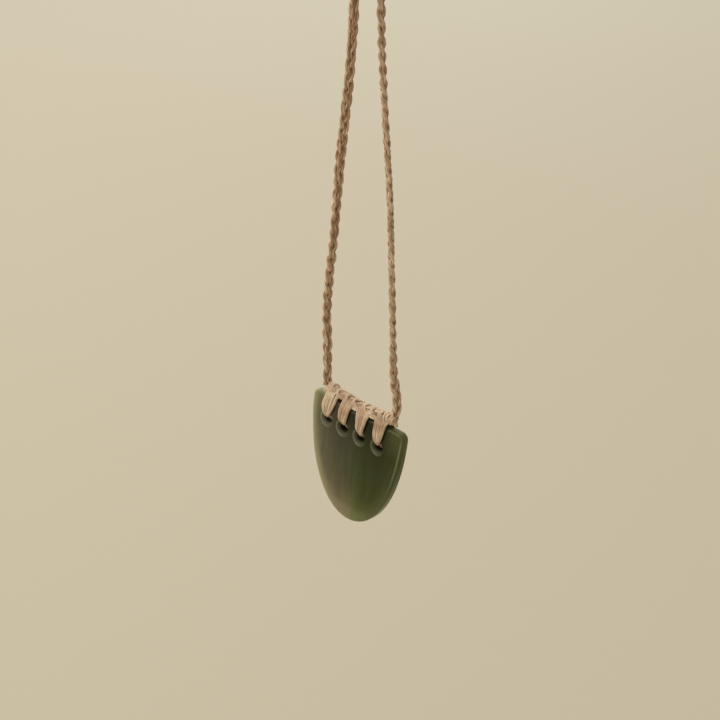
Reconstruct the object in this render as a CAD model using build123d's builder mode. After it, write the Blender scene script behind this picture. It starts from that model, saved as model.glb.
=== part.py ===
"""Greenstone breastplate pendant on a plaited neck cord, hanging from a peg.

Millimetres, +Z up. The origin is the underside of the loop's top, where a peg carries it.
The breastplate's front faces -Y, and its right end hangs a little lower than its left.
On the stone's own plane, x runs across it, y up it and z out of its front.
"""
import os
from math import cos, pi, radians, sin, sqrt, tan

from build123d import *

# Stone
stone_width = 52.8
stone_height = 51.75
stone_rim = 4.6
stone_crown = 1.5
stone_crown_across = 185.0
stone_crown_along = 420.0
stone_corner = 3.2
stone_front_edge = 1.7
stone_back_edge = 1.2
stone_right_width_power = 2.14
stone_right_height_power = 2.12
stone_left_width_power = 2.0
stone_left_height_power = 2.1
stone_outline_steps = 6

# How the stone hangs: the middle of its top edge, and the drop of its right end
stone_hang_x = 2.0
stone_hang_z = -276.0
stone_tilt = 5.4

# Holes, drilled and countersunk from both faces
hole_count = 4
hole_pitch = 9.95
hole_row_shift = -1.0
hole_depth_below_top = 10.2
hole_radius = 1.9
countersink_radius = 3.9
countersink_angle = 112.0

# Thread work
thread_gap = 0.15
lashing_thickness = 1.0
lashing_top_width = 7.2
lashing_top_shift = 0.4
lashing_throat_radius = 1.2
rail_core_radius = 1.0
rail_hitch_radius = 1.6
rail_hitch_pitch = 4.7
rail_collar_radius = 2.35

# Neck cord: the route's points (x, z) from the left strand's base, over the peg, to the right one's
cord_radius = 1.9
cord_reach = 0.45
cord_route = [
    (-17.5, -270.0), (-17.5, -255.0), (-19.0, -233.0), (-15.0, -204.0), (-12.5, -170.0),
    (-8.0, -135.0), (-6.0, -101.0), (-6.6, -69.0), (-7.1, -43.0), (-7.3, -26.0), (-7.1, -13.0),
    (-7.0, -1.1), (0.0, 3.0), (7.0, -1.1),
    (7.1, -13.0), (7.4, -26.0), (7.0, -44.0), (8.2, -71.0), (7.4, -105.0), (11.0, -142.0),
    (15.5, -178.0), (17.5, -211.0), (19.3, -238.0), (20.0, -259.0), (22.5, -273.5),
]

# Bound join of the plait, in the middle of the run that starts at this point of the route
whipping_run_index = 7
whipping_length = 14.0
whipping_wall = 1.0
whipping_gap = 0.2
whipping_edge = 0.6

across = Vector(cos(radians(stone_tilt)), 0, -sin(radians(stone_tilt)))
stone_front = Plane(origin=(stone_hang_x, 0, stone_hang_z), x_dir=across, z_dir=(0, -1, 0))
stone_side = Plane(origin=stone_front.origin, x_dir=stone_front.y_dir, z_dir=stone_front.x_dir)
crown_top = stone_rim / 2 + stone_crown
crown_middle = -stone_height / 2


def front_height(x, y):
    """Height of the crowned front over the stone's middle plane, at a place on the stone."""
    bend = stone_crown_along - sqrt(stone_crown_along ** 2 - (y - crown_middle) ** 2)
    return crown_top - stone_crown_across + sqrt((stone_crown_across - bend) ** 2 - x ** 2)


def outline_point(turn, margin):
    """Point of the rounded outline, from 0 degrees at the top right to 180 at the top left."""
    angle = radians(turn)
    if turn <= 90:
        side, width_power, height_power = 1, stone_right_width_power, stone_right_height_power
    else:
        side, width_power, height_power = -1, stone_left_width_power, stone_left_height_power
    x = side * (stone_width / 2 + margin) * abs(cos(angle)) ** (2 / width_power)
    y = margin - (stone_height + 2 * margin) * abs(sin(angle)) ** (2 / height_power)
    return (x, y)


def stone_blank(margin):
    """The stone without its holes, grown by a margin on every side."""
    axis_height = crown_top - stone_crown_across
    arc_reach = stone_height
    arc_drop = stone_crown_along - sqrt(stone_crown_along ** 2 - arc_reach ** 2)
    arc_end = crown_top + margin - arc_drop
    with BuildPart() as crown:
        with BuildSketch(stone_side):
            with BuildLine():
                ThreePointArc(
                    (crown_middle - arc_reach, arc_end),
                    (crown_middle, crown_top + margin),
                    (crown_middle + arc_reach, arc_end),
                )
                Polyline(
                    (crown_middle - arc_reach, arc_end),
                    (crown_middle - arc_reach, axis_height),
                    (crown_middle + arc_reach, axis_height),
                    (crown_middle + arc_reach, arc_end),
                )
            make_face()
        revolve(axis=Axis(stone_side.from_local_coords((0, axis_height, 0)), stone_side.x_dir))
    step = 90 / stone_outline_steps
    turns = [count * step for count in range(2 * stone_outline_steps + 1)]
    with BuildPart() as blank:
        with BuildSketch(stone_front.offset(-stone_rim / 2 - margin)) as outline:
            with BuildLine():
                sides = Spline(
                    *[outline_point(turn, margin) for turn in turns],
                    tangents=[(0, -1), (0, 1)],
                )
                Line(sides @ 1, sides @ 0)
            make_face()
            fillet(outline.vertices().group_by(Axis.Y)[-1], radius=stone_corner + margin)
        extrude(amount=stone_rim + stone_crown + 2 * margin)
        add(crown.part, mode=Mode.INTERSECT)
        fillet(blank.faces().sort_by(Axis.Y)[0].edges(), radius=stone_front_edge + margin)
        fillet(blank.faces().sort_by(Axis.Y)[-1].edges(), radius=stone_back_edge + margin)
    return blank.part


hole_places = [
    (hole_row_shift + hole_pitch * (index - (hole_count - 1) / 2), -hole_depth_below_top)
    for index in range(hole_count)
]


def drill_planes(place):
    """The planes that a hole is drilled from: one on the crowned front, one on the flat back."""
    x, y = place
    front = stone_front.from_local_coords((x, y, front_height(x, y)))
    back = stone_front.from_local_coords((x, y, -stone_rim / 2))
    return [
        Plane(origin=front, x_dir=stone_front.x_dir, z_dir=stone_front.z_dir),
        Plane(origin=back, x_dir=stone_front.x_dir, z_dir=-stone_front.z_dir),
    ]


# The stone
with BuildPart() as greenstone_plate:
    add(stone_blank(0))
    for place in hole_places:
        with Locations(*drill_planes(place)):
            CounterSinkHole(
                radius=hole_radius,
                counter_sink_radius=countersink_radius,
                counter_sink_angle=countersink_angle,
                depth=stone_rim + stone_crown,
            )

# The lashings: each a band from its hole, over the top edge and down the back
band_inside = stone_blank(thread_gap)
band_outside = stone_blank(thread_gap + lashing_thickness)
band_reach = stone_rim + stone_crown + 2 * lashing_thickness
throat_lift = hole_radius - lashing_throat_radius - thread_gap
lashing_top = thread_gap + lashing_thickness
lashings = []
for x, y in hole_places:
    with BuildPart() as throat:
        with BuildSketch(stone_front.offset(-band_reach)):
            with Locations((x, y + throat_lift)):
                Circle(lashing_throat_radius)
        extrude(amount=2 * band_reach)
        add(band_outside, mode=Mode.INTERSECT)
    with BuildPart() as lashing:
        with BuildSketch(stone_front.offset(-band_reach)):
            with Locations((x, y + throat_lift)):
                Circle(lashing_throat_radius)
            with Locations((x + lashing_top_shift, lashing_top)):
                Rectangle(lashing_top_width, 2 * lashing_top)
            make_hull()
        extrude(amount=2 * band_reach)
        add(band_outside, mode=Mode.INTERSECT)
        add(band_inside, mode=Mode.SUBTRACT)
        add(throat.part)
    lashings.append(lashing)

# Neck cord
corners = [Vector(x, 0, z) for x, z in cord_route]
runs = [end - start for start, end in zip(corners, corners[1:])]
cord_bends = []
for before, after in zip(runs, runs[1:]):
    half_turn = radians(before.get_angle(after)) / 2
    cord_bends.append(cord_reach * min(before.length, after.length) / tan(half_turn))
with BuildPart() as neck_cord:
    with BuildLine() as cord_path:
        FilletPolyline(*corners, radius=cord_bends)
    with BuildSketch(Plane(origin=corners[0], z_dir=runs[0])):
        Circle(cord_radius)
    sweep()

# The knotted rail: a core with a row of hitches, and a collar under each end of the neck cord
rail_height = lashing_top + thread_gap + rail_hitch_radius
rail_start = stone_front.to_local_coords(corners[0]).X
rail_end = stone_front.to_local_coords(corners[-1]).X
rail_length = rail_end - rail_start
rail_plane = Plane(
    origin=stone_front.from_local_coords((rail_start, rail_height, 0)),
    x_dir=stone_front.y_dir,
    z_dir=stone_front.x_dir,
)
first_hitch = rail_collar_radius + rail_hitch_radius
hitch_span = rail_length - 2 * first_hitch
hitch_gaps = round(hitch_span / rail_hitch_pitch)


def collar_depth(end, rise):
    """Length of the collar that stands on the thread work and carries this end of the cord."""
    lean = radians(rise.get_angle(stone_front.y_dir))
    seat = lashing_top + thread_gap + rail_collar_radius * sin(lean)
    return (stone_front.to_local_coords(end).Y - seat) / cos(lean)


with BuildPart() as top_rail:
    with BuildSketch(rail_plane):
        Circle(rail_core_radius)
    extrude(amount=rail_length)
    for count in range(hitch_gaps + 1):
        with Locations(rail_plane.offset(first_hitch + count * hitch_span / hitch_gaps)):
            Sphere(rail_hitch_radius)
    for end, rise in ((corners[0], runs[0]), (corners[-1], -runs[-1])):
        with BuildSketch(Plane(origin=end, z_dir=rise)):
            Circle(rail_collar_radius)
        extrude(amount=-collar_depth(end, rise))

# The bound join
join_start = corners[whipping_run_index]
join_run = runs[whipping_run_index]
join_middle = join_start + join_run * 0.5
with BuildPart() as nape_whipping:
    with BuildSketch(Plane(origin=join_middle, z_dir=join_run)):
        Circle(cord_radius + whipping_gap + whipping_wall)
        Circle(cord_radius + whipping_gap, mode=Mode.SUBTRACT)
    extrude(amount=whipping_length / 2, both=True)
    outer_wall = nape_whipping.faces().filter_by(GeomType.CYLINDER).sort_by(SortBy.AREA)[-1]
    fillet(outer_wall.edges().filter_by(GeomType.CIRCLE), radius=whipping_edge)

pieces = {
    "greenstone_plate": greenstone_plate,
    "top_rail": top_rail,
    "neck_cord": neck_cord,
    "nape_whipping": nape_whipping,
}
for number, lashing in enumerate(lashings, start=1):
    pieces[f"lashing_{number}"] = lashing

os.makedirs("parts", exist_ok=True)
for name, piece in pieces.items():
    piece.part.label = name
    export_step(piece.part, f"parts/{name}.step")

cord_length = cord_path.wires()[0].length
tube_share = neck_cord.part.volume / (cord_length * pi * cord_radius ** 2)
print("cord radii, mm:", [round(bend, 1) for bend in cord_bends])
print(f"cord length {cord_length:.1f} mm, tube volume over section times length {tube_share:.4f}")
print(f"whole necklace {cord_length + rail_length:.0f} mm round")
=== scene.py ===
"""Looks of a greenstone breastplate pendant on a plaited neck cord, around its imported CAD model.

Laid out as an add-on and run as a script. Numbers in the tables below are millimetres, unless
a name says otherwise, and turn to metres where a mesh or a scene property takes them. The frame
is the CAD model's: +Z up, the origin under the loop's top, the stone's front towards -Y. On the
stone's own plane, u runs across it, v up it from its top edge and w out of its front.
"""

from math import cos, pi, radians, sin, sqrt

import bpy
import numpy as np
from mathutils import Matrix, Vector


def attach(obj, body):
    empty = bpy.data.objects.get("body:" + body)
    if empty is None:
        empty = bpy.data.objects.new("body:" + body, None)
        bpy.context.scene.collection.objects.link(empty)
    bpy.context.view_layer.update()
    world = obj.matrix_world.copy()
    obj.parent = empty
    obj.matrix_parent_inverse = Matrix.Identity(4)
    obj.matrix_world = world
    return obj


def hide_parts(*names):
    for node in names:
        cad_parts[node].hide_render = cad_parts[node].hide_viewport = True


bl_info = {
    "name": "Greenstone breastplate pendant",
    "version": (1, 0, 0),
    "blender": (4, 5, 0),
    "location": "View3D > Sidebar > Pendant",
    "description": "Plait, lashings, knotted rail and polished stone of a hanging pendant",
    "category": "Add Mesh",
}

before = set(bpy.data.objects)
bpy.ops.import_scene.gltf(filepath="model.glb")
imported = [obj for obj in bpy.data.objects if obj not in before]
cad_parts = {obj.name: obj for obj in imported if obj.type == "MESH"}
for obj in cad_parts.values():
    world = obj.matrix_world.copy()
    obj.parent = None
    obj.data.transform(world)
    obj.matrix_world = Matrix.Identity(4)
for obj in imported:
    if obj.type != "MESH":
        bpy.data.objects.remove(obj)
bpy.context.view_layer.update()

MM = 0.001
BACKWARDS = np.array((0.0, 1.0, 0.0))

# Share of a tube's radius at its last ring and at the one before it, where its end rounds off
END_SHARES = (0.55, 0.88)

# The stone's plane, as the CAD model has it
STONE_ORIGIN = np.array((2.0, 0.0, -276.0))
STONE_TILT = radians(5.4)
STONE_ACROSS = np.array((cos(STONE_TILT), 0.0, -sin(STONE_TILT)))
STONE_UP = np.array((sin(STONE_TILT), 0.0, cos(STONE_TILT)))
STONE_OUT = -BACKWARDS
STONE_RIM = 4.6
STONE_CROWN = 1.5
STONE_HEIGHT = 51.75
STONE_HALF_WIDTH = 26.4
CROWN_ACROSS = 185.0
CROWN_ALONG = 420.0
# Its left half's outline is |u / half width| ** WIDTH_POWER + |v / height| ** HEIGHT_POWER = 1
WIDTH_POWER = 2.0
HEIGHT_POWER = 2.1
HOLE_PLACES = (-15.925, -5.975, 3.975, 13.925)
HOLE_DEPTH = -10.2
HOLE_PITCH = 9.95

# The neck cord's route (x, z), from the left strand's base over the peg to the right one's,
# and how far the flat plait is turned about its own line at each of its points, in degrees
CORD_ROUTE = (
    (-17.5, -270.0), (-17.5, -255.0), (-19.0, -233.0), (-15.0, -204.0), (-12.5, -170.0),
    (-8.0, -135.0), (-6.0, -101.0), (-6.6, -69.0), (-7.1, -43.0), (-7.3, -26.0), (-7.1, -13.0),
    (-7.0, -1.1), (0.0, 3.0), (7.0, -1.1),
    (7.1, -13.0), (7.4, -26.0), (7.0, -44.0), (8.2, -71.0), (7.4, -105.0), (11.0, -142.0),
    (15.5, -178.0), (17.5, -211.0), (19.3, -238.0), (20.0, -259.0), (22.5, -273.5),
)
CORD_TURN = (
    256, 258, 266, 264, 240,
    224, 232, 250, 258, 262, 266,
    270, 270, 270,
    269, 268, 268, 268, 265, 232,
    226, 228, 246, 280, 316,
)
ROUTE_STEP = 0.6
# At its left end the plait spreads and sinks into the wraps: the length of that, the share of its
# plain width at the end, and how deep it sinks. At its right end it draws together and tucks in
# under the wraps, given likewise, after a bow outwards: how far from the end, how long, how far out
LEFT_RUN, LEFT_WIDTH, LEFT_SINK = 3.0, 1.12, 1.1
RIGHT_RUN, RIGHT_WIDTH, RIGHT_TUCK = 4.5, 0.45, 1.6
BOW_PLACE, BOW_LENGTH, BOW_REACH = 10.0, 6.5, 1.5
# Places of the plait nearer than this to its middle line lie in a crease and get painted shade,
# which grows no darker below its depth
CREASE_REACH, CREASE_DEPTH = 1.35, 0.8

# The bound join, in the middle of the run that starts at this point of the route
WHIPPING_RUN_INDEX = 7
WHIPPING_LENGTH = 14.0
WHIPPING_RADIUS = 2.6

# Reach of each lashing's threads, across the stone from its hole: the left thread at the top edge
# and where it lies furthest out, the right thread, the width of the gap before the last two, how
# many threads it has over the rest, how much lower its left threads lie at the hole, and the
# shade of its darkest thread, from 0 for brown to 1 for pale
LASHING_FANS = (
    (-0.9, -2.4, 5.1, 0.9, 1, 1.1, 0.45), (-1.5, -2.3, 3.2, 0.0, 0, 0.2, 0.15),
    (-2.9, -1.8, 3.4, 0.0, 0, 1.0, 0.3), (-2.6, -2.3, 3.3, 0.0, 0, 1.0, 0.15),
)

# Space between a lashing's threads and the stone, and the length of one thread's loop
LASHING_GAP = 0.05
LOOP_LENGTH = 34.0

# The knotted rail: u of its two ends, w of its middle line, and that line's (u, v) points, which
# sag between the ends and rise more at the right one and over the first knot
RAIL_ENDS = (-19.4, 20.2)
RAIL_OUT = 0.35
RAIL_LINE = (
    (-20.0, 3.2), (-18.2, 3.8), (-16.5, 4.4), (-14.4, 4.4), (-13.0, 3.6), (-11.0, 3.1),
    (-5.0, 2.8), (3.0, 2.75), (7.0, 3.15), (14.0, 4.1), (20.2, 4.1),
)
RAIL_YARN = 1.02
RAIL_THREAD = 1.0
# Its hitches and the wraps round its ends, as (u, lean, v of the middle)
RAIL_HITCHES = (
    (-15.0, -0.5, 4.0), (-10.4, -1.0, 2.9), (-5.4, -0.8, 2.8), (-0.4, -1.2, 2.8),
    (4.9, -0.9, 2.9), (9.6, -1.1, 3.2), (13.6, -0.6, 3.6),
)
LEFT_WRAPS = (
    (-19.2, 0.1, 1.95), (-18.5, -0.05, 1.95), (-17.8, 0.12, 1.95), (-17.1, 0.2, 1.95),
    (-16.4, 0.1, 1.95),
)
RIGHT_WRAPS = (
    (15.6, -0.35, 3.65), (16.4, -0.1, 3.75), (17.3, -0.3, 3.9), (18.1, 0.1, 4.15),
    (18.9, 0.0, 4.3), (19.6, 0.15, 4.3),
)
# Its pale bridging threads, as (u of the middle, half the length, v of the upper one)
RAIL_BRIDGES = ((-1.2, 2.6, 1.7), (8.8, 2.3, 2.4))


def linear(code):
    """A colour written in sRGB hex, as the linear red, green, blue and alpha that shaders take."""
    parts = np.array([int(code[place:place + 2], 16) for place in (0, 2, 4)]) / 255
    steep = ((parts + 0.055) / 1.055) ** 2.4
    return tuple(float(part) for part in np.where(parts <= 0.04045, parts / 12.92, steep)) + (1.0,)


def length_field(name, description, size):
    """A length as a setting, from its size in millimetres."""
    return bpy.props.FloatProperty(
        name=name, description=description, default=size * MM, unit="LENGTH")


def colour_field(name, description, code):
    """A colour as a setting, from its sRGB hex."""
    return bpy.props.FloatVectorProperty(
        name=name, description=description, subtype="COLOR", size=4, default=linear(code),
        min=0, max=1)


class CordSettings(bpy.types.PropertyGroup):
    """Sizes and colour of the plaited neck cord."""

    width: length_field("Width", "Width of the plait seen flat on", 4.4)
    depth: length_field("Depth", "Thickness of the plait seen edge on", 2.9)
    pitch: length_field("Pitch", "Length in which one strand comes back to its own edge", 17.0)
    yarn: length_field("Yarn", "Diameter of one of the nine yarns", 1.12)
    colour: colour_field("Colour", "Colour of the palest plaited yarn", "FADDB8")
    brown: colour_field("Brown", "Colour of the darkest plaited yarn", "C29B75")


class ThreadSettings(bpy.types.PropertyGroup):
    """Sizes and colour of the lashings, the rail and the bound join."""

    diameter: length_field("Thread", "Diameter of the lashing thread", 1.02)
    count: bpy.props.IntProperty(
        name="Threads", description="Threads in each lashing", default=7, min=3, max=12)
    colour: colour_field("Colour", "Colour of the palest thread", "EAD3B3")
    brown: colour_field("Brown", "Colour of the darkest thread", "A97F5A")


class StoneSettings(bpy.types.PropertyGroup):
    """Colours and polish of the greenstone."""

    deep: colour_field("Deep green", "The body of the stone", "3D4720")
    # Partly the stone's own brown cloud, partly a painted reflection of the pale surroundings
    cloud_and_reflection: colour_field("Haze", "The brown cloud in the stone's left half", "65604A")
    # Painted light: the glow of the thin left rim
    left_rim_glow: colour_field("Rind", "The pale, thin left rim", "A3A07A")
    polish: bpy.props.FloatProperty(
        name="Roughness", description="Roughness of the polished face", default=0.2, min=0, max=1)


class StageSettings(bpy.types.PropertyGroup):
    """The pale floor and the studio light."""

    floor_colour: colour_field("Floor", "Colour of the plain floor", "C1B9A5")
    key_power: bpy.props.FloatProperty(
        name="Key light", description="Power of the large soft light, in watts", default=35.0,
        min=0)
    sky_strength: bpy.props.FloatProperty(
        name="Sky", description="Strength of the even light from all round", default=0.5, min=0)


# Node settings that come up often
SMOOTH = ("interpolation_type", "SMOOTHSTEP")
COLOURS = ("data_type", "RGBA")
MULTIPLY = ("operation", "MULTIPLY")
MULTIPLY_ADD = ("operation", "MULTIPLY_ADD")
SCALE = ("operation", "SCALE")


def add_node(tree, kind, settings=(), stops=(), **links):
    """Adds a node, whose kind is written without the ShaderNode in front.

    Settings are (socket or property, value) pairs, and a ramp's stops are (place, grey or colour)
    pairs. Links are socket=source: an output, or a node for the first output that it has in use.
    """
    node = tree.nodes.new("ShaderNode" + kind)
    for name, value in settings:
        if isinstance(name, str) and hasattr(node, name):
            setattr(node, name, value)
        else:
            node.inputs[name].default_value = value
    if stops:
        node.color_ramp.interpolation = "EASE"
        elements = node.color_ramp.elements
        while len(elements) < len(stops):
            elements.new(1.0)
        for element, (place, colour) in zip(elements, stops):
            element.position = place
            element.color = colour if np.ndim(colour) else (colour,) * 3 + (1.0,)
    for name, source in links.items():
        if not isinstance(source, bpy.types.NodeSocket):
            source = next(output for output in source.outputs if output.enabled)
        socket = int(name[1:]) if name[1:].isdigit() else name
        tree.links.new(source, node.inputs[socket])
    return node


def new_material(name, settings):
    """An empty material with its surface shader set, and the shader."""
    material = bpy.data.materials.new(name)
    material.use_nodes = True
    tree = material.node_tree
    tree.nodes.clear()
    shader = add_node(tree, "BsdfPrincipled", settings)
    add_node(tree, "OutputMaterial", Surface=shader)
    return material, tree, shader


def on_stone(u, v, w):
    """Places on the stone's plane as points: origin + u * across + v * up + w * out."""
    u, v, w = np.broadcast_arrays(u, v, w)
    return (STONE_ORIGIN + u[..., None] * STONE_ACROSS + v[..., None] * STONE_UP
            + w[..., None] * STONE_OUT)


def front_height(u, v):
    """Height of the crowned front: a circle across the stone whose top follows a wider one."""
    bend = CROWN_ALONG - np.sqrt(CROWN_ALONG ** 2 - (v + STONE_HEIGHT / 2) ** 2)
    top = STONE_RIM / 2 + STONE_CROWN
    return top - CROWN_ACROSS + np.sqrt((CROWN_ACROSS - bend) ** 2 - u ** 2)


def wander(place, scale, seed):
    """A slow wander between about -1 and 1: three sine waves of unlike length, set by a seed."""
    dice = np.random.default_rng(seed)
    lengths = scale * np.array((1.0, 0.61, 0.37))
    phases = dice.uniform(0, 2 * pi, 3)
    waves = np.sin(2 * pi * place[..., None] / lengths + phases)
    return waves @ np.array((0.5, 0.3, 0.2))


def unit(vectors):
    """The same directions with length 1."""
    return vectors / np.linalg.norm(vectors, axis=-1, keepdims=True)


def along(lines):
    """Length run so far at each point of many lines."""
    steps = np.linalg.norm(np.diff(lines, axis=1), axis=2)
    return np.concatenate((np.zeros((len(lines), 1)), np.cumsum(steps, axis=1)), axis=1)


def tubes(lines, reference, radius, sides, closed=False, flat=1.0):
    """Round tubes carried along many lines at once, as vertices and (faces, uvs) groups.

    A ring is centre + radius * (flat * cos a * side + sin a * lift / flat), where side is square
    to the line and to the reference, and lift is square to both. u goes once round the tube, and
    v is the length along it in millimetres. Open tubes taper by the end shares and end in a fan
    about a pole.
    """
    count, steps, _ = lines.shape
    if closed:
        direction = np.roll(lines, -1, axis=1) - np.roll(lines, 1, axis=1)
    else:
        direction = np.gradient(lines, axis=1)
    direction = unit(direction)
    side = unit(np.cross(direction, np.broadcast_to(reference, lines.shape)))
    lift = np.cross(direction, side)
    radius = np.broadcast_to(radius, lines.shape[:2]).copy()
    if not closed:
        for ring, share in enumerate(END_SHARES):
            radius[:, [ring, -1 - ring]] *= share
    angle = np.arange(sides) * 2 * pi / sides
    spokes = (flat * np.cos(angle)[:, None] * side[:, :, None]
              + np.sin(angle)[:, None] * lift[:, :, None] / flat)
    rings = lines[:, :, None] + radius[:, :, None, None] * spokes
    vertices = rings.reshape(-1, 3)

    spans = steps if closed else steps - 1
    tube, step, edge = np.meshgrid(
        np.arange(count), np.arange(spans), np.arange(sides), indexing="ij")
    after, next_edge = (step + 1) % steps, (edge + 1) % sides

    def vertex(row, place):
        return (tube * steps + row) * sides + place

    quads = np.stack(
        (vertex(step, edge), vertex(step, next_edge), vertex(after, next_edge),
         vertex(after, edge)), axis=-1).reshape(-1, 4)
    runs = along(np.concatenate((lines, lines[:, :1]), axis=1)) if closed else along(lines)
    low, high = runs[tube, step], runs[tube, step + 1]
    near, far = edge / sides, (edge + 1) / sides
    quad_uvs = np.stack(
        (np.stack((near, low), -1), np.stack((far, low), -1), np.stack((far, high), -1),
         np.stack((near, high), -1)), axis=-2).reshape(-1, 4, 2)
    groups = [(quads, quad_uvs)]
    if not closed:
        poles = len(vertices) + np.arange(2 * count).reshape(count, 2)
        vertices = np.concatenate((vertices, lines[:, [0, -1]].reshape(-1, 3)))
        tube, edge = np.meshgrid(np.arange(count), np.arange(sides), indexing="ij")
        next_edge = (edge + 1) % sides
        first, last = tube * steps * sides, (tube * steps + steps - 1) * sides
        starts = np.stack((poles[tube, 0], first + next_edge, first + edge), -1)
        ends = np.stack((poles[tube, 1], last + edge, last + next_edge), -1)
        caps = np.concatenate((starts, ends)).reshape(-1, 3)
        groups.append((caps, np.zeros((len(caps), 3, 2))))
    return vertices, groups


def new_piece(name, parts, material, replaces):
    """One mesh object from tubes; each part is (vertices, groups, shade per vertex)."""
    points, shades, corners, starts, uvs = [], [], [], [], []
    base = reach = 0
    for vertices, groups, shade in parts:
        for faces, face_uvs in groups:
            size = faces.shape[1]
            corners.append((faces + base).ravel())
            uvs.append(face_uvs.reshape(-1, 2))
            starts.append(reach + size * np.arange(len(faces)))
            reach += faces.size
        points.append(vertices)
        shades.append(shade)
        base += len(vertices)
    points, shades = np.concatenate(points) * MM, np.concatenate(shades)
    corners, starts, uvs = np.concatenate(corners), np.concatenate(starts), np.concatenate(uvs)
    mesh = bpy.data.meshes.new(name)
    mesh.vertices.add(len(points))
    mesh.vertices.foreach_set("co", points.astype(np.float32).ravel())
    mesh.loops.add(len(corners))
    mesh.loops.foreach_set("vertex_index", corners.astype(np.int32))
    mesh.polygons.add(len(starts))
    mesh.polygons.foreach_set("loop_start", starts.astype(np.int32))
    mesh.update(calc_edges=True)
    mesh.uv_layers.new(name="thread").data.foreach_set("uv", uvs.astype(np.float32).ravel())
    mesh.attributes.new("shade", "FLOAT", "POINT").data.foreach_set(
        "value", shades.astype(np.float32))
    mesh.shade_smooth()
    if mesh.validate():
        raise RuntimeError(f"{name}: the mesh had faults")
    mesh.materials.append(material)
    piece = bpy.data.objects.new(name, mesh)
    bpy.context.scene.collection.objects.link(piece)
    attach(piece, "root")
    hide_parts(*replaces)
    return piece


def tube_part(lines, reference, radius, sides, seed, closed=False, flat=1.0, tones=(0.0, 1.0),
              paling=0.0):
    """Tubes as a part for new_piece, each with a shade of its own drawn between the two tones.

    Along its line, each shade rises evenly by the paling in all.
    """
    vertices, groups = tubes(lines, reference, radius, sides, closed, flat)
    count, steps, _ = lines.shape
    drawn = np.random.default_rng(seed).uniform(*tones, count)
    rise = paling * np.linspace(-0.5, 0.5, steps)
    shade = np.repeat((drawn[:, None] + rise).ravel(), sides)
    if not closed:
        shade = np.concatenate((shade, np.repeat(drawn, 2)))
    return vertices, groups, shade


def route_line():
    """The neck cord's own line, the smooth curve of its route, and the length at its points."""
    curve = bpy.data.curves.new("cord_route", "CURVE")
    curve.dimensions = "3D"
    curve.resolution_u = 24
    spline = curve.splines.new("NURBS")
    spline.points.add(len(CORD_ROUTE) - 1)
    for point, (x, z) in zip(spline.points, CORD_ROUTE):
        point.co = (x * MM, 0.0, z * MM, 1.0)
    spline.order_u = 3
    spline.use_endpoint_u = True
    holder = bpy.data.objects.new("cord_route", curve)
    bpy.context.scene.collection.objects.link(holder)
    mesh = bpy.data.meshes.new_from_object(holder)
    points = np.empty(len(mesh.vertices) * 3, np.float32)
    mesh.vertices.foreach_get("co", points)
    bpy.data.objects.remove(holder)
    bpy.data.curves.remove(curve)
    bpy.data.meshes.remove(mesh)
    points = points.reshape(-1, 3).astype(float) / MM
    runs = along(points[None])[0]
    places = np.linspace(0, runs[-1], round(runs[-1] / ROUTE_STEP) + 1)
    line = np.stack([np.interp(places, runs, points[:, axis]) for axis in range(3)], axis=1)
    return line, places


def cord_turns(line, places):
    """The plait's turn about its line at each place, smoothed between the route's points."""
    route = np.array([(x, 0.0, z) for x, z in CORD_ROUTE])
    reach = np.linalg.norm(line[None] - route[:, None], axis=2).argmin(axis=1)
    turns = np.interp(places, places[reach], CORD_TURN)
    half_window = 20
    window = np.hanning(2 * half_window + 1)
    padded = np.pad(turns, half_window, mode="edge")
    return np.radians(np.convolve(padded, window / window.sum(), mode="valid"))


def plait_yarns(line, places, width_way, depth_way, size, pitch, yarn, yarns, lay, seed):
    """Centre lines of a three-strand plait's yarns.

    Strand k lies A sin(t) across and B sin(2t) deep, where t is 2 pi (place / pitch + k / 3),
    and its yarns wind slowly round the strand's own line, on a ring that is wider than deep. A
    and B swell and t slips a little along the way.
    """
    strand_wide, strand_deep = yarn * 2.14, yarn * 1.62
    ring = 0.9 * yarn / (2 * sin(pi / yarns))
    across_reach = (size[0] - strand_wide) / 2
    depth_reach = (size[1] - strand_deep) / 2
    swell = 1 + 0.07 * wander(places, 46.0, seed)
    slip = 0.05 * wander(places, 61.0, seed + 1)
    lines = []
    for strand in range(3):
        t = 2 * pi * (places / pitch + strand / 3 + slip)
        across = across_reach * swell * np.sin(t) + 0.08 * wander(places, 9.0, seed + 2 + strand)
        deep = depth_reach * swell * np.sin(2 * t)
        for order in range(yarns):
            a = 2 * pi * (places / lay + order / yarns) + strand
            a += 0.5 * wander(places, 23.0, seed + 7 + strand)
            x = across + ring * 1.1 * np.cos(a)
            y = deep + ring * 0.6 * np.sin(a)
            lines.append(line + x[:, None] * width_way + y[:, None] * depth_way)
    return np.array(lines)


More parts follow.
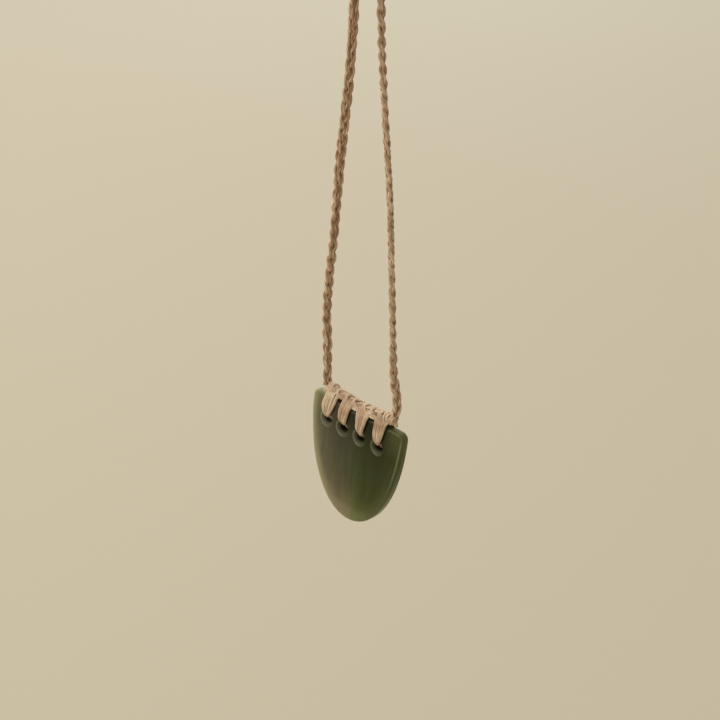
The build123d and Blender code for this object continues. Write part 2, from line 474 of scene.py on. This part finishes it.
def thread_material(name, brown, pale, plies, lay, sheen, relief):
    """Waxed, twisted plant-fibre thread: matt, with the plies' slant showing as fine ridges."""
    material, tree, shader = new_material(name, (
        ("Roughness", 0.62), ("Specular IOR Level", 0.35), ("Sheen Weight", sheen),
        ("Sheen Roughness", 0.5)))
    uv = add_node(tree, "UVMap", (("uv_map", "thread"),))
    # The ply ridges: a wave whose place is plies * u + v / lay, turned into one coordinate
    slant = add_node(tree, "Mapping", (
        ("Scale", (plies * sqrt(2), -sqrt(2) / lay, 1.0)), ("Rotation", (0.0, 0.0, pi / 4))),
        Vector=uv)
    ridges = add_node(tree, "TexWave", (
        ("Scale", pi / 10), ("Distortion", 0.6), ("Detail", 1.0), ("Detail Scale", 1.5)),
        Vector=slant).outputs["Fac"]
    place = add_node(tree, "TexCoord").outputs["Object"]
    # Uneven dye and wax, in patches of about 4 mm, and single fibres of about 0.3 mm
    patches = add_node(tree, "TexNoise", (("Scale", 250.0), ("Detail", 3.0)), Vector=place)
    fibres = add_node(tree, "TexNoise", (("Scale", 3300.0), ("Detail", 1.0)), Vector=place)
    tone = add_node(tree, "Attribute", (("attribute_name", "shade"),)).outputs["Fac"]
    mixed = add_node(tree, "Math", (MULTIPLY_ADD, (1, 0.45)), s0=tone, s2=patches)
    paleness = add_node(tree, "MapRange", (("From Min", 0.38),), Value=mixed)
    fibre = add_node(tree, "Mix", (COLOURS, (6, brown), (7, pale)), s0=paleness)
    # Painted shade in the grooves between the plies
    ply_groove_shade = add_node(tree, "MapRange", (("From Max", 0.6), ("To Min", 1 - 0.4 * relief)),
                      Value=ridges)
    # Shades below 0 mark creases, darkened by painted shade down to 0.4 of the colour
    crease_painted_shade = add_node(tree, "MapRange", (("From Min", -1.0), ("From Max", 0.0), ("To Min", 0.4)),
                      Value=tone)
    darkened = add_node(tree, "Math", (MULTIPLY,), s0=ply_groove_shade, s1=crease_painted_shade)
    tinted = add_node(tree, "VectorMath", (SCALE,), s0=fibre, Scale=darkened)
    tree.links.new(tinted.outputs["Vector"], shader.inputs["Base Color"])
    height = add_node(tree, "Math", (MULTIPLY_ADD, (1, 0.35)), s0=fibres, s2=ridges)
    bump = add_node(tree, "Bump", (("Strength", relief), ("Distance", 0.00012)), Height=height)
    tree.links.new(bump.outputs["Normal"], shader.inputs["Normal"])
    return material


def pale_thread():
    """The lashing thread's material, made once."""
    settings = bpy.context.scene.pendant_thread
    found = bpy.data.materials.get("waxed_linen_thread")
    return found or thread_material("waxed_linen_thread", settings.brown, settings.colour,
                                    plies=5, lay=12.0, sheen=0.25, relief=0.4)


def smooth_loop(points, steps):
    """A closed line through many loops' points: cubic pieces whose slopes come from neighbours."""
    count = points.shape[1]
    place = np.arange(count * steps) / steps
    span = place.astype(int)
    f = (place - span)[:, None]
    before, here = points[:, (span - 1) % count], points[:, span]
    after, beyond = points[:, (span + 1) % count], points[:, (span + 2) % count]
    return here + 0.5 * f * (
        after - before + f * (2 * before - 5 * here + 4 * after - beyond
                              + f * (3 * (here - after) + beyond - before)))


class PENDANT_OT_camera(bpy.types.Operator):
    """Set the camera above and to the right of the stone, turned a little about its own line."""

    bl_idname = "pendant.camera"
    bl_label = "Camera"

    def execute(self, context):
        azimuth, elevation, roll = radians(44), radians(24), radians(1.33)
        target, distance = Vector((1.13, 0.0, -253.5)) * MM, 0.9
        back = Vector((sin(azimuth) * cos(elevation), -cos(azimuth) * cos(elevation),
                       sin(elevation)))
        level = Vector((cos(azimuth), sin(azimuth), 0.0))
        rise = back.cross(level)
        right = level * cos(roll) + rise * sin(roll)
        top = rise * cos(roll) - level * sin(roll)
        data = bpy.data.cameras.new("camera")
        data.lens = 109.75
        data.sensor_width = 36.0
        data.clip_start = 0.01
        camera = bpy.data.objects.new("camera", data)
        turned = Matrix((right, top, back)).transposed().to_4x4()
        camera.matrix_world = Matrix.Translation(target + distance * back) @ turned
        context.scene.collection.objects.link(camera)
        context.scene.camera = camera
        return {"FINISHED"}


class PENDANT_OT_nape_whipping(bpy.types.Operator):
    """Bind the plait's join at the nape with a close winding of thread."""

    bl_idname = "pendant.nape_whipping"
    bl_label = "Bound join"

    def execute(self, context):
        settings = context.scene.pendant_thread
        thread = settings.diameter / MM
        line, _ = route_line()
        start, end = (np.array((x, 0.0, z)) for x, z in
                      CORD_ROUTE[WHIPPING_RUN_INDEX:WHIPPING_RUN_INDEX + 2])
        axis = unit(end - start)
        middle = line[np.linalg.norm(line - (start + end) / 2, axis=1).argmin()]
        side = np.cross(BACKWARDS, axis)
        turns = round((WHIPPING_LENGTH - thread) / thread)
        points_per_turn = 26
        t = np.linspace(0, turns, turns * points_per_turn + 1)
        reach = WHIPPING_RADIUS + 0.04 * wander(t, 3.3, 31)
        height = (t / turns - 0.5) * (WHIPPING_LENGTH - thread)
        ring = np.cos(2 * pi * t)[:, None] * side + np.sin(2 * pi * t)[:, None] * BACKWARDS
        helix = middle + height[:, None] * axis + reach[:, None] * ring
        part = tube_part(helix[None], axis, thread / 2, sides=10, seed=5)
        new_piece("nape_winding", [part], pale_thread(), ["nape_whipping"])
        return {"FINISHED"}


class PENDANT_OT_neck_cord(bpy.types.Operator):
    """Plait the neck cord: three strands of three yarns along the cord's own line."""

    bl_idname = "pendant.neck_cord"
    bl_label = "Neck cord"

    def execute(self, context):
        settings = context.scene.pendant_cord
        yarn = settings.yarn / MM
        line, places = route_line()
        turn = cord_turns(line, places)[:, None]
        direction = unit(np.gradient(line, axis=0))
        normal = np.cross(BACKWARDS, direction)
        width_way = np.cos(turn) * normal + np.sin(turn) * BACKWARDS
        depth_way = -np.sin(turn) * normal + np.cos(turn) * BACKWARDS
        lines = plait_yarns(
            line, places, width_way, depth_way, size=(settings.width / MM, settings.depth / MM),
            pitch=settings.pitch / MM, yarn=yarn, yarns=3, lay=41.0, seed=11)
        left_run = np.clip(places / LEFT_RUN, 0, 1)
        to_right_end = places[-1] - places
        right_run = np.clip(to_right_end / RIGHT_RUN, 0, 1)
        drawn = np.minimum(LEFT_WIDTH + (1 - LEFT_WIDTH) * left_run,
                           RIGHT_WIDTH + (LEFT_WIDTH - RIGHT_WIDTH) * right_run ** 0.7)
        sunk = -LEFT_SINK * (1 - left_run) ** 2
        bow = BOW_REACH * np.exp(-((to_right_end - BOW_PLACE) / BOW_LENGTH) ** 2)
        tuck = -RIGHT_TUCK * (1 - right_run) ** 2
        lines = (line + (lines - line) * drawn[:, None]
                 + (bow + tuck)[:, None] * STONE_ACROSS + sunk[:, None] * direction)
        vertices, groups, shade = tube_part(
            lines, width_way, yarn / 2, sides=8, seed=3, paling=0.16)
        # Painted shade in the creases: the shade drops below 0 near the plait's middle line
        middle = lines.mean(axis=0)
        rings = vertices[:-2 * len(lines)].reshape(len(lines), len(middle), -1, 3)
        depth = CREASE_REACH - np.linalg.norm(rings - middle[:, None], axis=3).ravel()
        shade[:depth.size] -= 1.5 * np.clip(depth, 0, CREASE_DEPTH)
        parts = [(vertices, groups, shade)]
        # Two yarns' ends lie under the wraps at the right end of the rail
        t = np.linspace(0, 1, 12)
        tails = [on_stone(20.1 + 0.2 * t + 0.6 * step, 3.6 - 1.7 * t - 0.2 * step * t,
                          0.2 + 0.4 * np.sin(pi * t) - 0.3 * step) for step in range(2)]
        parts.append(tube_part(np.array(tails), STONE_OUT, yarn / 2, sides=8, seed=4))
        material = thread_material("plaited_fibre_cord", settings.brown, settings.colour,
                                   plies=3, lay=3.0, sheen=0.15, relief=0.9)
        piece = new_piece("neck_plait", parts, material, ["neck_cord"])
        return {"FINISHED"}


class PENDANT_OT_lashings(bpy.types.Operator):
    """Lash the stone: threads through each hole, over the top edge and down the back."""

    bl_idname = "pendant.lashings"
    bl_label = "Lashings"

    def execute(self, context):
        settings = context.scene.pendant_thread
        radius = settings.diameter / MM / 2
        h = HOLE_DEPTH
        for number, (hole, row) in enumerate(zip(HOLE_PLACES, LASHING_FANS), 1):
            tucked, widest, right, gap, extra, slack, dark = row
            count = settings.count + extra
            order = np.arange(count)
            share = (order / (count - 1))[:, None]
            apart = gap * (order >= count - 2)
            lift = radius + LASHING_GAP
            front = front_height(hole, -4.0) + lift
            back = -STONE_RIM / 2 - lift
            # Each point of a thread's loop: v, w, how far the left and the right threads have
            # fanned out, how much lower the left ones lie, how far every other one stands out,
            # how far the left ones have drawn in to their place at the top edge, and how far
            # all have gathered into the round bundle that fills the hole
            stations = np.array([
                (h + 1.3, 0.0, 0.0, 0.0, slack, 0.0, 0.0, 1.0),
                (h + 1.3, 1.2, 0.0, 0.0, slack, 0.1, 0.0, 0.0),
                (h + 1.6, 2.2, 0.18, 0.08, 0.7 * slack, 0.3, 0.0, 0.0),
                (h + 2.6, 3.0, 0.5, 0.22, 0.35 * slack, 0.5, 0.0, 0.0),
                (h + 4.0, front + 0.2, 0.83, 0.42, 0.1, 0.6, 0.0, 0.0),
                (h + 6.0, front + 0.2, 1.0, 0.58, 0.0, 0.6, 0.0, 0.0),
                (-2.2, front, 1.03, 0.7, 0.0, 0.35, 0.2, 0.0),
                (-0.5, front - 0.3, 1.0, 0.8, 0.0, 0.15, 0.5, 0.0),
                (1.1, 2.75, 1.0, 0.9, 0.0, 0.0, 0.8, 0.0),
                (2.3, 2.0, 1.0, 0.98, 0.0, 0.0, 1.0, 0.0),
                (3.0, 0.9, 1.0, 1.0, 0.0, 0.0, 1.0, 0.0),
                (3.0, -0.3, 1.0, 1.0, 0.0, 0.0, 1.0, 0.0),
                (2.4, -1.4, 1.0, 1.0, 0.0, 0.0, 1.0, 0.0),
                (1.1, -2.2, 1.0, 0.95, 0.0, 0.0, 0.8, 0.0),
                (-0.6, back + 0.1, 1.0, 0.85, 0.0, -0.1, 0.5, 0.0),
                (-2.6, back, 0.9, 0.75, 0.0, -0.2, 0.2, 0.0),
                (h + 5.8, back, 0.7, 0.6, 0.0, -0.4, 0.0, 0.0),
                (h + 4.2, back, 0.5, 0.4, 0.1, -0.6, 0.0, 0.0),
                (h + 2.7, back + 0.15, 0.25, 0.2, 0.4, -0.6, 0.0, 0.15),
                (h + 1.6, -1.9, 0.05, 0.05, 0.7 * slack, -0.3, 0.0, 0.6),
                (h + 1.3, -1.0, 0.0, 0.0, slack, 0.0, 0.0, 1.0),
            ])
            v, w, left_fan, right_fan, drop, stack, tuck, bundle = stations.T
            fan = left_fan * (1 - share) + right_fan * share
            left = widest + (tucked - widest) * tuck
            reach = left + (right - gap - left) * share + apart[:, None]
            u = hole + (0.8 * share - 0.75) * (1 - fan) + reach * fan
            v = v - drop * (1 - share)
            w = w + (order % 2)[:, None] * stack * 0.45
            # In the bundle the threads lie round a line, from the upper left to the right. It
            # slants through the hole, left of its middle, from above in front to below behind
            around = radians(120) + radians(300) * share
            out_by = (0.55 + 0.55 * (order % 2))[:, None]
            inward = np.clip(w, -1.0, 0.0)
            bundle_u = hole - 0.4 + 0.3 * inward + out_by * np.cos(around)
            bundle_v = h + 0.45 + 0.9 * inward + out_by * np.sin(around)
            u = u + bundle * (bundle_u - u)
            v = v + bundle * (bundle_v - v)
            loops = smooth_loop(on_stone(u, v, w), steps=6)
            places = np.linspace(0, LOOP_LENGTH, loops.shape[1], endpoint=False)
            jitter = np.array([wander(places, 17.0, 50 * number + item) for item in order])
            loops = loops + 0.1 * jitter[..., None] * STONE_ACROSS
            part = tube_part(loops, STONE_ACROSS, radius, sides=10, seed=20 + number,
                             closed=True, flat=0.85, tones=(dark, dark + 0.55))
            new_piece(f"lashing_threads_{number}", [part], pale_thread(),
                      [f"lashing_{number}"])
        return {"FINISHED"}


class PENDANT_OT_top_rail(bpy.types.Operator):
    """Lay the knotted rail: a plaited core with hitches round it and wraps at its ends."""

    bl_idname = "pendant.top_rail"
    bl_label = "Knotted rail"

    def execute(self, context):
        places = np.linspace(0, RAIL_ENDS[1] - RAIL_ENDS[0], 160)
        u = RAIL_ENDS[0] + places
        v = np.interp(u, *np.array(RAIL_LINE).T) + 0.2 * wander(places, 13.0, 71)
        w = RAIL_OUT + 0.2 * wander(places, 17.0, 72)
        line = on_stone(u, v, w)
        lean = radians(38)
        depth_way = np.broadcast_to(cos(lean) * STONE_OUT + sin(lean) * STONE_UP, line.shape)
        width_way = np.broadcast_to(cos(lean) * STONE_UP - sin(lean) * STONE_OUT, line.shape)
        core = plait_yarns(line, places, width_way, depth_way, size=(3.8, 3.1), pitch=14.0,
                           yarn=RAIL_YARN, yarns=2, lay=21.0, seed=73)
        parts = [tube_part(core, depth_way, RAIL_YARN / 2, sides=10, seed=74,
                           tones=(0.45, 1.0))]

        def rings(rows, spread, up_reach, out_reach, seed, tones):
            """Closed rings round the rail, one for each row and step of the spread.

            Each is an oval in v and w, a little uneven, and leaned along u.
            """
            at, leans, heights = np.repeat(np.array(rows), len(spread), axis=0).T[..., None]
            at = at + np.tile(spread, len(rows))[:, None]
            t = np.linspace(0, 2 * pi, 36, endpoint=False)
            wobble = 1 + 0.08 * np.sin(3 * t + 5 * at)
            rise = np.cos(t) * up_reach * wobble
            out = np.sin(t) * out_reach * wobble
            loops = on_stone(at + leans * (rise + 0.6 * out), heights + rise, RAIL_OUT + out)
            return tube_part(loops, STONE_ACROSS, RAIL_THREAD / 2, sides=8, seed=seed,
                             closed=True, tones=tones)

        parts += [
            rings(RAIL_HITCHES, (-0.45, 0.4), up_reach=1.5, out_reach=1.75, seed=76,
                  tones=(0.6, 1.1)),
            rings(LEFT_WRAPS, (0.0,), up_reach=1.35, out_reach=2.0, seed=77, tones=(0.6, 1.0)),
            rings(RIGHT_WRAPS, (0.0,), up_reach=1.9, out_reach=1.8, seed=79, tones=(0.2, 1.0)),
        ]
        # A lower and an upper pale thread bridge each of two gaps between the hitches
        t = np.linspace(0, 1, 18)
        arch = np.sin(pi * t)
        bridges = [on_stone(centre + half * (2 * t - 1), height - 0.8 * step - 0.2 * arch,
                            1.8 + 0.25 * step + 0.4 * arch)
                   for centre, half, height in RAIL_BRIDGES for step in range(2)]
        parts.append(tube_part(np.array(bridges), STONE_UP, RAIL_THREAD / 2, sides=8, seed=78,
                               tones=(0.8, 1.0)))
        new_piece("rail_knots", parts, pale_thread(), ["top_rail"])
        return {"FINISHED"}


def nephrite(settings):
    """Polished nephrite: deep green with a glassy skin, brown clouds partly standing for painted
    reflection, fine silk, and painted light and shade.
    """
    material, tree, shader = new_material("polished_nephrite", (
        ("IOR", 1.61), ("Specular IOR Level", 0.2), ("Specular Tint", linear("F6EAC8"))))
    place = add_node(tree, "TexCoord").outputs
    turned = Matrix.Rotation(-STONE_TILT, 3, "Y") @ Vector(STONE_ORIGIN)
    # Millimetres on the stone: x across, z up from the top edge, y into the stone
    mm = add_node(tree, "Mapping", (
        ("Scale", (1 / MM,) * 3), ("Rotation", (0.0, -STONE_TILT, 0.0)),
        ("Location", tuple(-turned))), Vector=place["Object"])
    axes = add_node(tree, "SeparateXYZ", Vector=mm).outputs
    # Silk: fibre bundles about 4 mm wide and 29 mm long that run down the stone
    silk_place = add_node(tree, "Mapping", (
        ("Scale", (0.24, 0.16, 0.035)), ("Rotation", (0.0, 0.12, 0.0))), Vector=mm)
    silk = add_node(tree, "TexNoise", (
        ("Scale", 1.0), ("Detail", 5.0), ("Roughness", 0.55), ("Distortion", 0.6)),
        Vector=silk_place)
    # Clouds about 18 mm wide and 33 mm tall
    cloud_place = add_node(tree, "Mapping", (("Scale", (0.055, 0.055, 0.03)),), Vector=mm)
    cloud = add_node(tree, "TexNoise", (("Scale", 1.0), ("Detail", 3.0)), Vector=cloud_place)
    # Across the stone: place from 0 at the left rim to 1 at the right, wandering with the clouds
    drift = add_node(tree, "Math", (MULTIPLY_ADD, (1, 9.0)), s0=cloud, s2=axes["X"])
    span = add_node(tree, "MapRange", (("From Min", -22.5), ("From Max", 31.5)), Value=drift)
    # Lighter and browner towards the left: partly the stone's own brown cloud, partly painted
    # reflection of the pale surroundings
    green = add_node(tree, "ValToRGB", stops=(
        (0.0, linear("8E8763")), (0.13, linear("7E7B5A")), (0.22, settings.cloud_and_reflection),
        (0.40, linear("54523A")), (0.50, linear("4E5033")), (0.62, settings.deep),
        (0.78, linear("3A411E")), (1.0, linear("4C562C"))), Fac=span)
    # Down the stone: nearly black round the holes, lighter and yellower at the point
    fall = add_node(tree, "Math", (MULTIPLY_ADD, (1, 8.0)), s0=silk, s2=axes["Z"])
    depth = add_node(tree, "MapRange", (("From Min", -48.0), ("From Max", 6.0)), Value=fall)
    down = add_node(tree, "ValToRGB", stops=(
        (0.03, (0.90, 0.76, 1.08, 1.0)), (0.09, (0.72, 0.61, 0.78, 1.0)),
        (0.19, (0.42, 0.385, 0.42, 1.0)), (0.30, (0.29, 0.285, 0.30, 1.0)),
        (0.41, (0.235, 0.235, 0.245, 1.0)), (0.52, (0.20, 0.21, 0.23, 1.0)),
        (0.63, (0.18, 0.18, 0.205, 1.0)), (0.74, (0.14, 0.14, 0.15, 1.0)),
        (0.87, (0.16, 0.13, 0.145, 1.0))), Fac=depth)
    tinted = add_node(tree, "Mix", (
        COLOURS, ("blend_type", "MULTIPLY"), ("Factor", 1.0)), s6=green, s7=down)
    streak = add_node(tree, "MapRange", (
        ("From Min", 0.3), ("From Max", 0.7), ("To Min", 3.0), ("To Max", 5.1)), Value=silk)
    veined = add_node(tree, "VectorMath", (SCALE,), s0=tinted, Scale=streak)
    # How near the rim: the outline's own sum of powers, which is 1 at the left rim
    rim_terms = []
    for axis, size, power in (("X", STONE_HALF_WIDTH, WIDTH_POWER),
                              ("Z", STONE_HEIGHT, HEIGHT_POWER)):
        share = add_node(tree, "Math", (("operation", "DIVIDE"), (1, size)), s0=axes[axis])
        share_size = add_node(tree, "Math", (("operation", "ABSOLUTE"),), s0=share)
        rim_terms.append(add_node(tree, "Math", (("operation", "POWER"), (1, power)),
                                  s0=share_size))
    rim = add_node(tree, "Math", (("operation", "ADD"),), s0=rim_terms[0], s1=rim_terms[1])
    # Painted light: the thin left rim lets light through and faces the light from the left, so a
    # pale olive glow fades in over 5 mm
    thin = add_node(tree, "MapRange", (SMOOTH, ("From Min", 0.62), ("From Max", 1.0)), Value=rim)
    left_side = add_node(tree, "MapRange", (SMOOTH, ("From Min", 8.0), ("From Max", -16.0)),
                         Value=drift)
    left_rim_glow = add_node(tree, "Math", (MULTIPLY,), s0=thin, s1=left_side)
    # The top corners are green, and between the lashings a painted shadow of the threads darkens
    # the stone
    whole_width = add_node(tree, "MapRange", (
        ("From Min", -STONE_HALF_WIDTH), ("From Max", STONE_HALF_WIDTH)), Value=axes["X"])
    ends = add_node(tree, "ValToRGB", stops=(
        (0.03, 0.95), (0.10, 0.55), (0.21, 0.0), (0.80, 0.0), (0.92, 0.27)), Fac=whole_width)
    between = add_node(tree, "ValToRGB", stops=(
        (0.24, 0.0), (0.34, 1.0), (0.72, 1.0), (0.82, 0.0)), Fac=whole_width)
    high = add_node(tree, "MapRange", (SMOOTH, ("From Min", -15.0), ("From Max", -2.0)),
                    Value=axes["Z"])
    corners = add_node(tree, "Math", (MULTIPLY,), s0=ends, s1=high)
    thread_shadow_mask = add_node(tree, "Math", (MULTIPLY,), s0=between, s1=high)
    thread_shadow_factor = add_node(tree, "MapRange", (("To Min", 1.0), ("To Max", 0.4)), Value=thread_shadow_mask)
    thread_shadowed = add_node(tree, "VectorMath", (SCALE,), s0=veined, Scale=thread_shadow_factor)
    cornered = add_node(tree, "Mix", (COLOURS, (7, linear("6C7547"))), s0=corners, s6=thread_shadowed)
    pale = add_node(tree, "Mix", (COLOURS, (7, settings.left_rim_glow)), s0=left_rim_glow, s6=cornered)
    # Painted light: the right rim and the top are lighter green, as lit, with a painted highlight
    # line along the right front arris: all follow how far the surface has turned from the faces, 1
    # on a face and 0 on the side
    facing = add_node(tree, "SeparateXYZ", Vector=place["Normal"]).outputs
    front = add_node(tree, "Math", (("operation", "ABSOLUTE"),), s0=facing["Y"])
    edge = add_node(tree, "ValToRGB", stops=(
        (0.0, 0.28), (0.55, 0.17), (0.90, 0.27), (0.985, 0.0)), Fac=front)
    # Painted highlight along the right front arris
    arris_highlight = add_node(tree, "ValToRGB", stops=(
        (0.82, 0.0), (0.93, 0.6), (0.978, 0.6), (0.99, 0.0)), Fac=front)
    upper = add_node(tree, "MapRange", (("From Min", -32.0), ("From Max", 0.0)), Value=axes["Z"])
    fade = add_node(tree, "ValToRGB", stops=(
        (0.0, 0.08), (0.62, 1.0), (0.84, 1.0), (0.95, 0.1)), Fac=upper)
    lines = add_node(tree, "Math", (MULTIPLY_ADD,), s0=arris_highlight, s1=fade, s2=edge)
    right_side = add_node(tree, "MapRange", (SMOOTH, ("From Min", 3.0), ("From Max", 22.0)),
                          Value=axes["X"])
    on_rim = add_node(tree, "Math", (("operation", "GREATER_THAN"), (1, 0.72)), s0=rim)
    lit_side = add_node(tree, "Math", (MULTIPLY,), s0=right_side, s1=on_rim)
    lit = add_node(tree, "Math", (MULTIPLY,), s0=lines, s1=lit_side)
    # Towards its point the stone thins at the right as well: painted light, a glow that grows over
    # 5 mm
    near_rim = add_node(tree, "MapRange", (SMOOTH, ("From Min", 0.68), ("From Max", 0.95)),
                        Value=rim)
    below = add_node(tree, "MapRange", (
        ("From Min", -22.0), ("From Max", -46.0), ("To Max", 0.2)), Value=axes["Z"])
    right_half = add_node(tree, "MapRange", (SMOOTH, ("From Min", -2.0), ("From Max", 6.0)),
                          Value=axes["X"])
    low_rim = add_node(tree, "Math", (MULTIPLY,), s0=near_rim, s1=below)
    lit_rim = add_node(tree, "Math", (MULTIPLY_ADD,), s0=low_rim, s1=right_half, s2=lit)
    upward = add_node(tree, "MapRange", (
        SMOOTH, ("From Min", 0.2), ("From Max", 0.8), ("To Max", 0.24)), Value=facing["Z"])
    # The painted light on the top is kept out of the threads' painted shadow
    top_light = add_node(tree, "Math", (MULTIPLY,), s0=upward, s1=thread_shadow_factor)
    lit_top = add_node(tree, "Math", (("operation", "MAXIMUM"),), s0=lit_rim, s1=top_light)
    rimmed = add_node(tree, "Mix", (COLOURS, (7, linear("858C66"))), s0=lit_top, s6=pale)
    # The ground countersinks: how far a place is from the nearest hole's middle, in millimetres
    nearest = add_node(tree, "MapRange", (
        ("interpolation_type", "STEPPED"), ("Steps", len(HOLE_PLACES) - 1.0),
        ("From Min", HOLE_PLACES[0] - HOLE_PITCH / 2),
        ("From Max", HOLE_PLACES[-1] + HOLE_PITCH / 2),
        ("To Min", HOLE_PLACES[0]), ("To Max", HOLE_PLACES[-1])), Value=axes["X"])
    middle = add_node(tree, "CombineXYZ", (("Z", HOLE_DEPTH),), X=nearest)
    flat = add_node(tree, "VectorMath", (MULTIPLY, (1, (1.0, 0.0, 1.0))), s0=mm)
    offset = add_node(tree, "VectorMath", (("operation", "SUBTRACT"),), s0=flat, s1=middle)
    reach = add_node(tree, "VectorMath", (("operation", "LENGTH"),), s0=offset)
    toward = add_node(tree, "VectorMath", (("operation", "NORMALIZE"),), s0=offset)
    lower_left = add_node(tree, "VectorMath", (
        ("operation", "DOT_PRODUCT"), (1, (-0.94, 0.0, -0.34))), s0=toward)
    # Painted light makes the ground walls pale at the left and below, painted shade makes the bore
    # dark, and neither has polish
    wall_span = add_node(tree, "MapRange", (("From Min", 2.0), ("From Max", 4.2)), Value=reach)
    wall = add_node(tree, "ValToRGB", stops=(
        (0.0, 0.0), (0.45, 0.25), (0.75, 1.0), (0.97, 0.0)), Fac=wall_span)
    side = add_node(tree, "MapRange", (
        SMOOTH, ("From Min", -0.1), ("From Max", 0.9), ("To Max", 0.66)), Value=lower_left)
    painted_wall_light = add_node(tree, "Math", (MULTIPLY,), s0=wall, s1=side)
    walled = add_node(tree, "Mix", (COLOURS, (7, linear("9A967F"))), s0=painted_wall_light, s6=rimmed)
    bore_painted_shade = add_node(tree, "MapRange", (("From Min", 2.0), ("From Max", 2.6), ("To Min", 0.3)),
                    Value=reach)
    whole = add_node(tree, "VectorMath", (SCALE,), s0=walled, Scale=bore_painted_shade)
    tree.links.new(whole.outputs["Vector"], shader.inputs["Base Color"])
    dull = add_node(tree, "MapRange", (
        ("From Min", 3.7), ("From Max", 4.1), ("To Min", 0.6), ("To Max", settings.polish)),
        Value=reach)
    tree.links.new(dull.outputs["Result"], shader.inputs["Roughness"])
    # Fine pits and drag of the polish, under 0.02 mm deep
    grain = add_node(tree, "TexNoise", (("Scale", 900.0), ("Detail", 2.0)),
                     Vector=place["Object"])
    bump = add_node(tree, "Bump", (("Strength", 0.08), ("Distance", 0.00002)), Height=grain)
    tree.links.new(bump.outputs["Normal"], shader.inputs["Normal"])
    return material


class PENDANT_OT_greenstone(bpy.types.Operator):
    """Give the CAD model's stone its polished greenstone finish."""

    bl_idname = "pendant.greenstone"
    bl_label = "Greenstone"

    def execute(self, context):
        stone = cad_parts["greenstone_plate"]
        material = nephrite(context.scene.pendant_stone)
        for place in stone.material_slots:
            place.material = material
        return {"FINISHED"}


class PENDANT_OT_stage(bpy.types.Operator):
    """Lay the pale floor and set the soft light."""

    bl_idname = "pendant.stage"
    bl_label = "Stage"

    def execute(self, context):
        settings = context.scene.pendant_stage
        scene = context.scene
        scene.view_settings.view_transform = "Standard"
        half, level = 6.0, -0.8
        mesh = bpy.data.meshes.new("floor")
        mesh.from_pydata([(-half, -half, level), (half, -half, level), (half, half, level),
                          (-half, half, level)], [], [(0, 1, 2, 3)])
        # Matt painted board: no gloss, one even pale colour
        board, _, _ = new_material("matt_painted_board", (
            ("Base Color", settings.floor_colour), ("Roughness", 0.9),
            ("Specular IOR Level", 0.1)))
        mesh.materials.append(board)
        floor = bpy.data.objects.new("floor", mesh)
        scene.collection.objects.link(floor)

        # Even air, brighter towards the big window side at the upper left
        world = bpy.data.worlds.new("studio_air")
        world.use_nodes = True
        tree = world.node_tree
        tree.nodes.clear()
        aim = add_node(tree, "TexCoord").outputs["Generated"]
        glow = add_node(tree, "VectorMath", (
            ("operation", "DOT_PRODUCT"), (1, Vector((-0.85, -0.1, 0.52)).normalized())), s0=aim)
        strength = add_node(tree, "MapRange", (
            SMOOTH, ("From Min", -0.2), ("To Min", settings.sky_strength * 0.7),
            ("To Max", settings.sky_strength * 2.4)), Value=glow)
        sky = add_node(tree, "Background", (("Color", linear("FFF9F0")),), Strength=strength)
        add_node(tree, "OutputWorld", Surface=sky)
        scene.world = world

        target = Vector((0.0, 0.0, -0.28))
        floor_spot = Vector((-2.2, 2.4, level))
        for name, place, aim_at, size, power, tint in (
                ("window", (-2.3, 0.5, 1.82), target, 2.4, settings.key_power, "FFFAF0"),
                ("lamp", (-0.9, -1.3, 0.82), target, 1.5, settings.key_power * 0.16, "FFFAF0"),
                ("wash", (-2.2, 2.4, 0.7), floor_spot, 1.0, settings.key_power * 0.30, "DDEEFF")):
            data = bpy.data.lights.new(name, "AREA")
            data.shape = "DISK"
            data.size = size
            data.energy = power
            data.color = linear(tint)[:3]
            light = bpy.data.objects.new(name, data)
            spot = Vector(place)
            light.matrix_world = (Matrix.Translation(spot)
                                  @ (spot - aim_at).to_track_quat("Z", "Y").to_matrix().to_4x4())
            scene.collection.objects.link(light)
        return {"FINISHED"}


class PENDANT_PT_sidebar(bpy.types.Panel):
    """The pendant's sizes, colours and pieces."""

    bl_label = "Pendant"
    bl_idname = "PENDANT_PT_sidebar"
    bl_space_type = "VIEW_3D"
    bl_region_type = "UI"
    bl_category = "Pendant"

    def draw(self, context):
        for name, group in SETTINGS:
            box = self.layout.box()
            held = getattr(context.scene, name)
            for field in group.__annotations__:
                box.prop(held, field)
        for operator in OPERATORS:
            self.layout.operator(operator.bl_idname)


SETTINGS = (
    ("pendant_cord", CordSettings), ("pendant_thread", ThreadSettings),
    ("pendant_stone", StoneSettings), ("pendant_stage", StageSettings),
)
OPERATORS = (
    PENDANT_OT_camera, PENDANT_OT_nape_whipping, PENDANT_OT_neck_cord, PENDANT_OT_lashings,
    PENDANT_OT_top_rail, PENDANT_OT_greenstone, PENDANT_OT_stage,
)


def register():
    """Registers the classes and hangs the settings on the scene."""
    for name, group in SETTINGS:
        bpy.utils.register_class(group)
        setattr(bpy.types.Scene, name, bpy.props.PointerProperty(type=group))
    for operator in OPERATORS:
        bpy.utils.register_class(operator)
    bpy.utils.register_class(PENDANT_PT_sidebar)


def unregister():
    """Takes away what register added."""
    bpy.utils.unregister_class(PENDANT_PT_sidebar)
    for operator in reversed(OPERATORS):
        bpy.utils.unregister_class(operator)
    for name, group in reversed(SETTINGS):
        delattr(bpy.types.Scene, name)
        bpy.utils.unregister_class(group)


def main():
    register()
    for operator in OPERATORS:
        family, name = operator.bl_idname.split(".")
        getattr(getattr(bpy.ops, family), name)()


if __name__ == "__main__":
    main()
